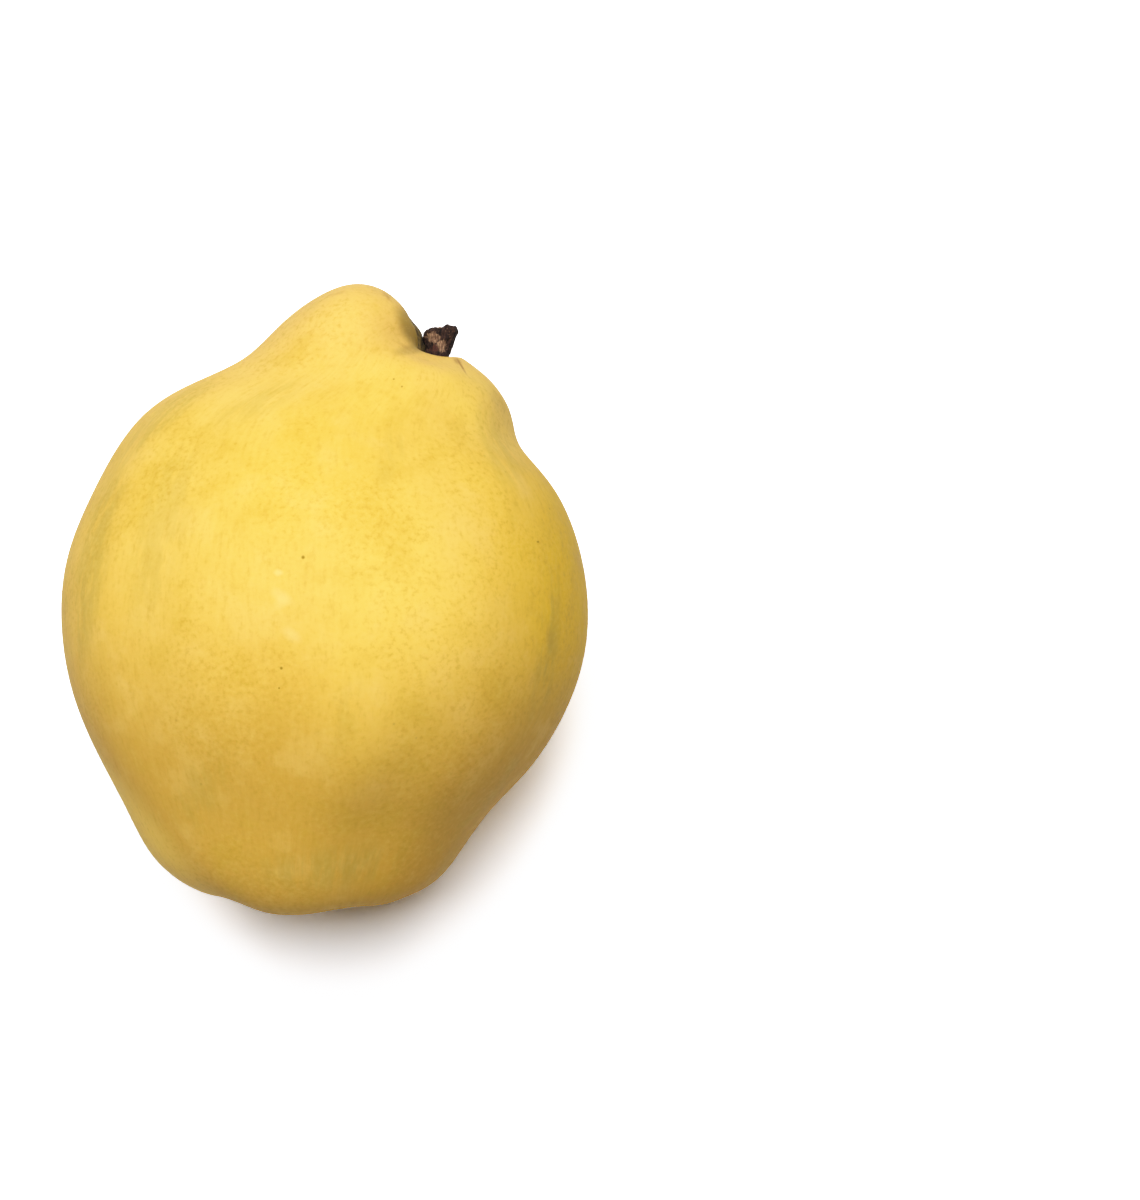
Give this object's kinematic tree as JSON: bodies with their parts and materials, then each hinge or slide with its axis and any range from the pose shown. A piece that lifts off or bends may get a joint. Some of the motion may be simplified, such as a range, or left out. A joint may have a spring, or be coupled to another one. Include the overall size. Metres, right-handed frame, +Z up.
{
  "type": "quince",
  "caption": "Lumpy golden quince lying on its side, with an off-centre neck, a woody stem stub in a narrow pit and a deep lobed calyx basin with dried sepals.",
  "frame": {"origin": "on the surface that the fruit lies on, under the middle of its box", "axes": "+Z up, +Y along the fruit towards the stem end, +X across it to the right when it is seen from above with the stem end away"},
  "size_m": [0.0858, 0.1032, 0.0803],
  "materials": {
    "skin": "satin quince skin, golden yellow, greener on one side and browner towards the calyx",
    "stem_wood": "rough dry bark with a black broken end",
    "sepal": "withered, matt, brittle",
    "stamens": "withered, matt, fibrous"
  },
  "bodies": {
    "root": {"fruit": "skin", "stem": "stem_wood", "sepal_1": "sepal", "sepal_2": "sepal", "sepal_3": "sepal", "sepal_4": "sepal", "sepal_5": "sepal", "stamen_tuft": "stamens"}
  },
  "joints": []
}
